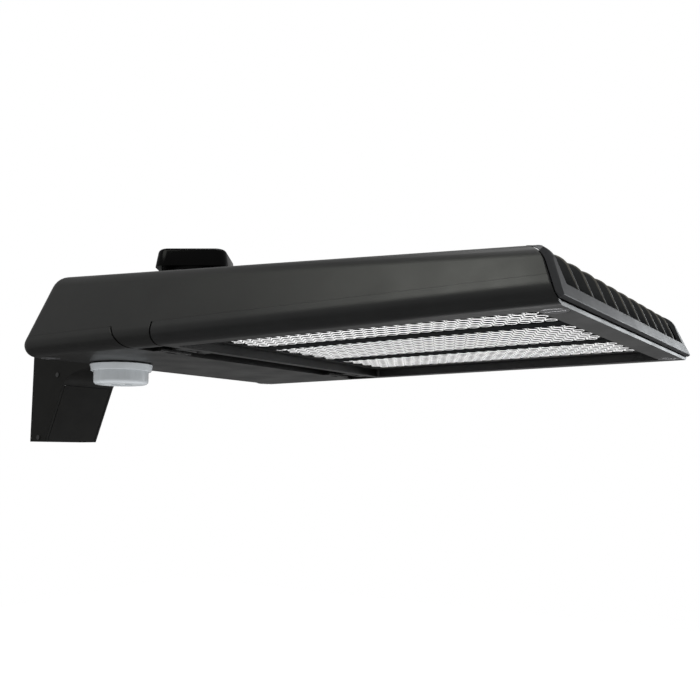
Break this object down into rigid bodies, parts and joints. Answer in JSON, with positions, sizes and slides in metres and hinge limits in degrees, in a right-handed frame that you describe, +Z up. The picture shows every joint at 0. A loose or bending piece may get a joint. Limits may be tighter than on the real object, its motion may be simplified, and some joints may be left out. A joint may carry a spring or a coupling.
{
  "type": "shoebox area light",
  "caption": "Flat outdoor LED area light with rounded shell, finned front, hinged covers, pole arm, photocontrol and occupancy sensor.",
  "frame": {"origin": "middle of the flat face that bolts to the pole", "axes": "+X away from the pole along the light, +Z up, +Y across the light"},
  "size_m": [0.8042, 0.43, 0.2155],
  "materials": {
    "arm_finish": "cast aluminium with a fine textured near-black powder coat",
    "housing_finish": "cast aluminium with a fine textured black powder coat",
    "sink_finish": "cast aluminium with a fine textured black powder coat",
    "steel": "plain zinc-coated steel",
    "latch_finish": "satin black coated stud",
    "seal": "matt black silicone",
    "driver_case": "satin grey case",
    "surge_case": "black moulded case",
    "terminal_plastic": "white moulded block",
    "optic_finish": "bright metallised reflector cups",
    "board": "white coated circuit board",
    "sensor_plastic": "pale grey moulded plastic",
    "sensor_window": "milky moulded lens",
    "control_plastic": "glossy black moulded plastic",
    "blade_brass": "plain brass blades"
  },
  "bodies": {
    "fixture": {"arm": "arm_finish", "arm_cover": "arm_finish", "arm_cover_screws": "steel", "arm_gasket": "seal", "arm_bolts": "steel", "arm_nuts": "steel", "wire_grommet": "seal", "housing": "housing_finish", "heat_sink": "sink_finish", "heat_sink_screws": "steel", "door_hinge_pins": "steel", "driver": "driver_case", "driver_screws": "steel", "surge_protector": "surge_case", "terminal_block": "terminal_plastic", "frame_hinge_pins": "steel", "optic_near": "optic_finish", "optic_middle": "optic_finish", "optic_far": "optic_finish", "led_board_near": "board", "led_board_middle": "board", "led_board_far": "board", "optic_screws": "steel", "receptacle_gasket": "seal", "receptacle": "control_plastic"},
    "door_unit": {"driver_door": "housing_finish", "door_gasket": "seal", "sensor_gasket": "seal", "sensor_base": "sensor_plastic", "sensor_body": "sensor_plastic", "sensor_lens": "sensor_window", "sensor_nut": "sensor_plastic"},
    "lens_unit": {"lens_frame": "housing_finish", "lens_gasket": "seal"},
    "photocontrol_unit": {"photocontrol": "control_plastic", "photocontrol_blades": "blade_brass"},
    "door_latch_near_stud": {"door_latch_near": "latch_finish"},
    "door_latch_far_stud": {"door_latch_far": "latch_finish"},
    "frame_latch_near_stud": {"frame_latch_near": "latch_finish"},
    "frame_latch_far_stud": {"frame_latch_far": "latch_finish"}
  },
  "joints": [
    {"name": "door_swing", "type": "hinge", "parent": "fixture", "child": "door_unit", "pos_m": [0.3737, 0, 0.0102], "axis": [0, -1, 0], "range_deg": [0, 75]},
    {"name": "lens_swing", "type": "hinge", "parent": "fixture", "child": "lens_unit", "pos_m": [0.3955, 0, 0.0102], "axis": [0, 1, 0], "range_deg": [0, 75]},
    {"name": "photocontrol_twist", "type": "hinge", "parent": "fixture", "child": "photocontrol_unit", "pos_m": [0.311, -0.055, 0.10922], "axis": [0, 0, 1], "range_deg": [-25, 0]},
    {"name": "door_stud_near_turn", "type": "hinge", "parent": "door_unit", "child": "door_latch_near_stud", "pos_m": [0.2245, -0.187, 0.008], "axis": [0, 0, 1], "range_deg": [0, 90]},
    {"name": "door_stud_far_turn", "type": "hinge", "parent": "door_unit", "child": "door_latch_far_stud", "pos_m": [0.2245, 0.187, 0.008], "axis": [0, 0, 1], "range_deg": [0, 90]},
    {"name": "lens_stud_near_turn", "type": "hinge", "parent": "lens_unit", "child": "frame_latch_near_stud", "pos_m": [0.787, -0.182, 0.008], "axis": [0, 0, 1], "range_deg": [0, 90]},
    {"name": "lens_stud_far_turn", "type": "hinge", "parent": "lens_unit", "child": "frame_latch_far_stud", "pos_m": [0.787, 0.182, 0.008], "axis": [0, 0, 1], "range_deg": [0, 90]}
  ]
}
